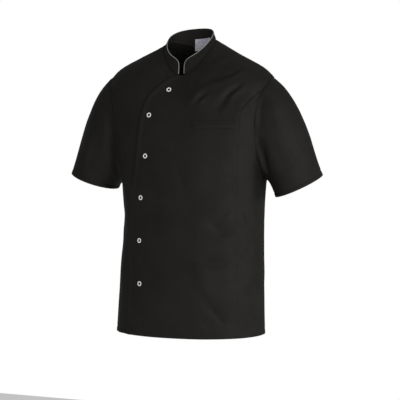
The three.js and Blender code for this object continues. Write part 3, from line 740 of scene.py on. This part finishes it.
def collarSway(points):
    # the stand collar leans a little in and out along its length, with its piping and its label
    footHeight = np.interp(points[:, 1], collarFoot["y"], collarFoot["z"])
    foot = smoothStep((points[:, 2] - footHeight) / drape["swayRise"])
    outwards = points * (1, 1, 0)
    outwards /= np.linalg.norm(outwards, axis=1)[:, None]
    sway = drape["sway"] * noiseAt(points * (1, 1, drape["swayStretch"]), drape["swaySize"], 5.3) * foot
    return points + outwards * sway[:, None]


for node, skin in skins.items():
    if node == "collar":
        moveTo(skin, collarSway(coordinates(skin)))
    elif node != "pocket_welt":
        hang(skin)
    applyModifier(skin, "SUBSURF", {"levels": 1, "render_levels": 1, "boundary_smooth": "PRESERVE_CORNERS"})
print("cloth hung")

# the open edges have moved with the cloth, so they are found again
findRims()
for node, skin in skins.items():
    if node not in ("collar", "pocket_welt"):
        finishEdges(skin, node)
for closing in range(closeRounds):
    findRims()
    for node, skin in skins.items():
        if node != "pocket_welt":
            closeSeams(skin, node)
findRims()

# The welt follows the left front: each point is set over the cloth behind it
weltLift = {
    "height": 1.9 * mm, "puff": 0.35 * mm, "edge": 4 * mm,
    "stitch": -0.2175, "groove": 0.5 * mm, "grooveWide": 1.5 * mm,    # along its upper row of stitches
}
frontCloth = treeOf([skins["front_left"]])
weltRim = pointTree([skins["pocket_welt"].data.vertices[a].co.copy() for a, b in rimsOf(skins["pocket_welt"])])
weltPoints = coordinates(skins["pocket_welt"])
puff = weltLift["puff"] * smoothStep(distances(weltRim, weltPoints) / weltLift["edge"])
for k, point in enumerate(weltPoints):
    hit, normal = frontCloth.ray_cast(Vector((point[0], -1, point[2])), Vector((0, 1, 0)))[:2]
    groove = weltLift["groove"] * math.exp(-((point[2] - weltLift["stitch"]) / weltLift["grooveWide"]) ** 2)
    weltPoints[k] = hit + normal * (weltLift["height"] + puff[k] - groove)
moveTo(skins["pocket_welt"], weltPoints)
print("edges finished")


# Topstitching: rows of single stitches, set in from an edge or drawn on the cloth
shortestRun = 4


def runsOf(piece, wanted):
    # the open edge's corners in order, split where the row isn't wanted
    following, runs = dict(rimsOf(piece)), []
    left = set(following)
    while left:
        at, loop = min(left), []
        while at in left:
            left.discard(at)
            loop.append(at)
            at = following[at]
        keep = [wanted(piece.data.vertices[k].co) for k in loop]
        if all(keep):
            runs.append(loop + loop[:1])
            continue
        if not any(keep):
            continue
        first = keep.index(False)
        run = []
        for k in list(range(first, len(loop))) + list(range(first + 1)):
            if keep[k]:
                run.append(loop[k])
            elif run:
                runs.append(run)
                run = []
    return [run for run in runs if len(run) >= shortestRun]


def insetRow(piece, run, inset):
    points = np.array([piece.data.vertices[k].co for k in run])
    normals = np.array([piece.data.vertices[k].normal for k in run])
    ahead = np.gradient(points, axis=0)
    inwards = np.cross(normals, ahead)
    return points + inset * inwards / np.linalg.norm(inwards, axis=1)[:, None]


stitchSize = {
    "pitch": 3.4 * mm, "share": 0.76, "wide": 0.62 * mm, "high": 0.5 * mm, "lift": 0.02 * mm,
    "groove": 0.4 * mm, "grooveWide": 1.9 * mm,    # pressed into the cloth by the row
}

bpy.ops.object.select_all(action="DESELECT")
bpy.ops.mesh.primitive_uv_sphere_add(segments=6, ring_count=5, radius=0.5)
stitchMaster = bpy.context.object
stitchMaster.name = "stitchMaster"
bpy.ops.object.mode_set(mode="EDIT")
bpy.ops.mesh.select_all(action="SELECT")
bpy.ops.transform.rotate(value=math.radians(90), orient_axis="Y", center_override=(0, 0, 0))
bpy.ops.transform.resize(value=(stitchSize["pitch"] * stitchSize["share"], stitchSize["wide"], stitchSize["high"]))
bpy.ops.object.mode_set(mode="OBJECT")
masterPoints = coordinates(stitchMaster)
masterFaces = [list(face.vertices) for face in stitchMaster.data.polygons]
bpy.data.objects.remove(stitchMaster)


def stitchesAlong(row, surface):
    # one stitch for each step of the row, laid on the surface
    run = np.r_[0, np.cumsum(np.linalg.norm(np.diff(row, axis=0), axis=1))]
    count = max(1, round(run[-1] / stitchSize["pitch"]))
    at = np.linspace(0, run[-1], count + 1)
    spots = np.c_[[np.interp(at, run, row[:, k]) for k in range(3)]].T
    laid = [surface.find_nearest(Vector(p))[:2] for p in spots]
    placed = []
    for (a, normalA), (b, normalB) in zip(laid, laid[1:]):
        ahead = (b - a).normalized()
        up = (normalA + normalB).normalized()
        sideways = up.cross(ahead).normalized()
        turn = np.array([ahead, sideways, up])
        placed.append(masterPoints @ turn + np.array((a + b) / 2 + up * stitchSize["lift"]))
    return placed


def makeStitches(name, placed):
    points = np.vstack(placed)
    faces = [[k * len(masterPoints) + v for v in face] for k in range(len(placed)) for face in masterFaces]
    mesh = bpy.data.meshes.new(name)
    mesh.from_pydata(points.tolist(), [], faces)
    piece = bpy.data.objects.new(name, mesh)
    bpy.context.collection.objects.link(piece)
    mesh.materials.append(blackThread)
    mesh.shade_smooth()
    return piece


surfaces = {node: treeOf([skins[node]]) for node in skins}
isNear = lambda node: lambda p: rimTrees[node].find(p)[2] < seamReach
isFree = lambda node: lambda p: not isSeam(node, p)
stitchRows = [
    # piece, where its edge is wanted, how far in, in millimetres
    ("front_left", lambda p: p.z < hemLine, 10), ("front_right", lambda p: p.z < hemLine, 10),
    ("side_front_left", lambda p: p.z < hemLine, 10), ("side_front_right", lambda p: p.z < hemLine, 10),
    ("back", lambda p: p.z < hemLine, 10),
    ("sleeve_left", isFree("sleeve_left"), 10), ("sleeve_right", isFree("sleeve_right"), 10),
    ("front_left", lambda p: isFree("front_left")(p) and p.z > hemLine - 1 * mm and p.x < 0.05, 6),
    ("front_left", isNear("side_front_left"), 5), ("front_right", isNear("side_front_right"), 5),
    ("front_left", isNear("back"), 5), ("front_right", isNear("back"), 5),
    ("front_left", isNear("sleeve_left"), 6), ("side_front_left", isNear("sleeve_left"), 6),
    ("front_right", isNear("sleeve_right"), 6), ("side_front_right", isNear("sleeve_right"), 6),
    ("back", lambda p: isNear("sleeve_left")(p) or isNear("sleeve_right")(p), 6),
    ("collar", isFree("collar"), 4), ("collar", lambda p: isSeam("collar", p), 4),
]
rows = []
for node, wanted, inset in stitchRows:
    rows += [(node, insetRow(skins[node], run, inset * mm)) for run in runsOf(skins[node], wanted)]
weltRows = [
    # x and z in millimetres, on the left front or on the welt
    ("front_left", [(52, -240.5), (152, -240.5)]),
    ("pocket_welt", [(51, -217.5), (151, -217.5)]), ("pocket_welt", [(52, -228.5), (150, -228.5)]),
    ("pocket_welt", [(50.2, -215), (50.2, -229)]), ("pocket_welt", [(151.8, -215), (151.8, -229)]),
]
for node, ends in weltRows:
    line = smoothLine(np.array(ends) * mm, 2 * mm)
    row = [surfaces[node].ray_cast(Vector((x, -1, z)), Vector((0, 1, 0)))[0] for x, z in line]
    rows.append((node, np.array([p for p in row if p])))
for node, skin in skins.items():
    drawn = [row for owner, row in rows if owner == node]
    if drawn:
        points = coordinates(skin)
        away = distances(pointTree(np.vstack(drawn)), points)
        sunk = stitchSize["groove"] * np.exp(-(away / stitchSize["grooveWide"]) ** 2)
        moveTo(skin, points - normalsOf(skin) * sunk[:, None])
surfaces = {node: treeOf([skins[node]]) for node in skins}
placed = [stitch for node, row in rows for stitch in stitchesAlong(row, surfaces[node])]
topstitching = makeStitches("topstitching", placed)
print("stitches:", len(placed))


# Cloth gets its wall, inwards from the skin, and its raw edges are softened
edgeSoftness, sharpEdge = 0.45 * mm, math.radians(60)
backKeeps = 0.9    # the largest piece has its flat places thinned out
for node, its in clothPieces.items():
    skin = skins[node]
    if node == "collar":
        tuckCollar(skin)
    applyModifier(skin, "SOLIDIFY", {"thickness": its["wall"], "offset": -1, "use_even_offset": node != "collar"})
    applyModifier(skin, "BEVEL", {
        "width": edgeSoftness, "segments": 2, "limit_method": "ANGLE", "angle_limit": sharpEdge,
    })
    if node == "back":
        applyModifier(skin, "DECIMATE", {"ratio": backKeeps})
    skin.data.materials.append(blackTwill)
    skin.data.shade_smooth()
    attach(skin, "root")
    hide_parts(node)
print("walls made")


# Piping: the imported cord, smoothed, made thinner and set against the edge that it is sewn into. It sits lower at the
# back of the neck.
pipingFit = {"in": 0.75 * mm, "thinner": 0.3 * mm, "drop": 1.3 * mm, "dropFrom": -0.01, "dropOver": 0.03}
piping = copyNode("collar_piping", "collarPiping")
applyModifier(piping, "SUBSURF", {"levels": 2, "render_levels": 2})
points = collarSway(coordinates(piping))
points -= normalsOf(piping) * pipingFit["thinner"]
for k, point in enumerate(points):
    nearest = surfaces["collar"].find_nearest(Vector(point))[0]
    points[k] += np.array((nearest - Vector(point)).normalized()) * pipingFit["in"]
points[:, 2] -= pipingFit["drop"] * smoothStep((points[:, 1] - pipingFit["dropFrom"]) / pipingFit["dropOver"])
moveTo(piping, points)
piping.data.materials.append(pipingTape)
piping.data.shade_smooth()

# Label: bare, and not quite flat
labelFit = {"softness": 0.3 * mm, "sharp": math.radians(50), "ripple": 0.5 * mm, "rippleSize": 0.02}
label = copyNode("neck_label", "neckLabel")
applyModifier(label, "SUBSURF", {"levels": 3, "render_levels": 3, "subdivision_type": "SIMPLE"})
applyModifier(label, "BEVEL", {
    "width": labelFit["softness"], "segments": 2, "limit_method": "ANGLE", "angle_limit": labelFit["sharp"],
})
points = collarSway(coordinates(label))
points[:, 1] += labelFit["ripple"] * noiseAt(points, labelFit["rippleSize"], 2.2)
moveTo(label, points)
label.data.materials.append(labelTaffeta)
label.data.shade_smooth()

# Ring snaps: one ring, modelled flat and copied to its six places on the left front
snapLook = {
    "middle": 4.8 * mm, "tube": 1.35 * mm, "flat": 0.62, "sunk": 0.25 * mm,
    "top": 0.75, "rim": 0.22 * mm, "hollow": 0.12 * mm,    # the top, which faces up at least so far, is stamped in
}
bpy.ops.object.select_all(action="DESELECT")
bpy.ops.mesh.primitive_torus_add(
    major_radius=snapLook["middle"], minor_radius=snapLook["tube"], major_segments=40, minor_segments=16,
)
ringMaster = bpy.context.object
bpy.ops.object.mode_set(mode="EDIT")
bpy.ops.mesh.select_all(action="SELECT")
bpy.ops.transform.resize(value=(1, 1, snapLook["flat"]))
bpy.ops.mesh.select_all(action="DESELECT")
for face in bmesh.from_edit_mesh(ringMaster.data).faces:
    face.select = face.normal.z > snapLook["top"]
bmesh.update_edit_mesh(ringMaster.data)
bpy.ops.mesh.inset(thickness=snapLook["rim"], depth=-snapLook["hollow"])
bpy.ops.object.mode_set(mode="OBJECT")
applyModifier(ringMaster, "SUBSURF", {"levels": 1, "render_levels": 1})

lift = snapLook["tube"] * snapLook["flat"] - snapLook["sunk"]
for k, centre in enumerate(snapCentres, 1):
    spot, normal = surfaces["front_left"].find_nearest(centre)[:2]
    ring = bpy.data.objects.new(f"ringSnap{k}", ringMaster.data.copy())
    bpy.context.collection.objects.link(ring)
    turn = normal.to_track_quat("Z", "Y").to_matrix().to_4x4()
    ring.data.transform(Matrix.Translation(spot + normal * lift) @ turn)
    ring.data.materials.append(whiteLacquer)
    ring.data.shade_smooth()
    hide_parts(f"snap_{k}")
    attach(ring, "root")
bpy.data.objects.remove(ringMaster)
print("trims made")

for piece, node, slot in ((piping, "collar_piping", "piping"), (label, "neck_label", "label")):
    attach(piece, "root")
    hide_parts(node)
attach(topstitching, "root")


# The studio: a pale floor, soft lights and the photograph's view
floorLook = {"size": 4.2, "height": -1.45, "glow": 0.25}
bpy.ops.object.select_all(action="DESELECT")
bpy.ops.mesh.primitive_plane_add(size=floorLook["size"], location=(0, 0, floorLook["height"]))
floor = bpy.context.object
floor.name = "studioFloor"
floorPaint, tree = newMaterial("palePaint")
speckle = addNode(tree, "ShaderNodeTexNoise", {"Scale": 3.0, "Detail": 2.0})
tone = addNode(tree, "ShaderNodeValToRGB", links={"Fac": speckle.outputs["Fac"]})
tone.color_ramp.elements[0].color, tone.color_ramp.elements[1].color = linear("#fbfbfa"), linear("#ffffff")
paint = addNode(tree, "ShaderNodeBsdfPrincipled", {
    "Roughness": 0.9, "Emission Color": (1, 1, 1, 1), "Emission Strength": floorLook["glow"],
}, {"Base Color": tone.outputs["Color"]})
addNode(tree, "ShaderNodeOutputMaterial", links={"Surface": paint.outputs["BSDF"]})
floor.data.materials.append(floorPaint)
floor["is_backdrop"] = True

world = bpy.data.worlds.new("studio")
bpy.context.scene.world = world
world.use_nodes = True
world.node_tree.nodes["Background"].inputs["Color"].default_value = (1, 1, 1, 1)
backdrop = {"seen": 1.0, "lit": 0.25}    # the white that shows, and how much of it lights the jacket
rays = addNode(world.node_tree, "ShaderNodeLightPath")
strength = addNode(world.node_tree, "ShaderNodeMath", {"operation": "MULTIPLY_ADD"}, {0: rays.outputs["Is Camera Ray"]})
strength.inputs[1].default_value = backdrop["seen"] - backdrop["lit"]
strength.inputs[2].default_value = backdrop["lit"]
world.node_tree.links.new(strength.outputs["Value"], world.node_tree.nodes["Background"].inputs["Strength"])
bpy.context.scene.view_settings.view_transform = "Standard"

turnTo = math.radians(21)
towardsCamera = Vector((math.sin(turnTo), -math.cos(turnTo), 0))
toTheRight = Vector((math.cos(turnTo), math.sin(turnTo), 0))
jacketMiddle = Vector((0, 0, -0.36))
softboxes = [
    # right, up and towards the camera from the jacket's middle, then size and power
    {"name": "keyLight", "at": (1.3, 0.2, 2.3), "size": 0.9, "power": 29},
    {"name": "sideLight", "at": (2.3, 0.3, 1.2), "size": 0.6, "power": 18},
    {"name": "fillLight", "at": (-1.5, 0.1, 2.1), "size": 0.9, "power": 7.5},
    {"name": "topLight", "at": (0.2, 2.2, 1.0), "size": 0.9, "power": 3},
]
for box in softboxes:
    right, up, near = box["at"]
    lamp = bpy.data.lights.new(box["name"], "AREA")
    lamp.size, lamp.energy = box["size"], box["power"]
    holder = bpy.data.objects.new(box["name"], lamp)
    holder.location = jacketMiddle + toTheRight * right + Vector((0, 0, up)) + towardsCamera * near
    holder.rotation_euler = (jacketMiddle - holder.location).to_track_quat("-Z", "Y").to_euler()
    bpy.context.collection.objects.link(holder)

cameraSetup = {"distance": 2.456, "aside": 0.018, "height": -0.405, "lens": 85, "sensor": 36}
lens = bpy.data.cameras.new("camera")
lens.lens, lens.sensor_width = cameraSetup["lens"], cameraSetup["sensor"]
camera = bpy.data.objects.new("camera", lens)
camera.location = towardsCamera * cameraSetup["distance"] + toTheRight * cameraSetup["aside"]
camera.location.z += cameraSetup["height"]
camera.rotation_euler = (math.radians(90), 0, turnTo)
bpy.context.collection.objects.link(camera)
bpy.context.scene.camera = camera

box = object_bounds()
print("jacket", [round((b - a) * 1000) for a, b in zip(*box)], "mm")
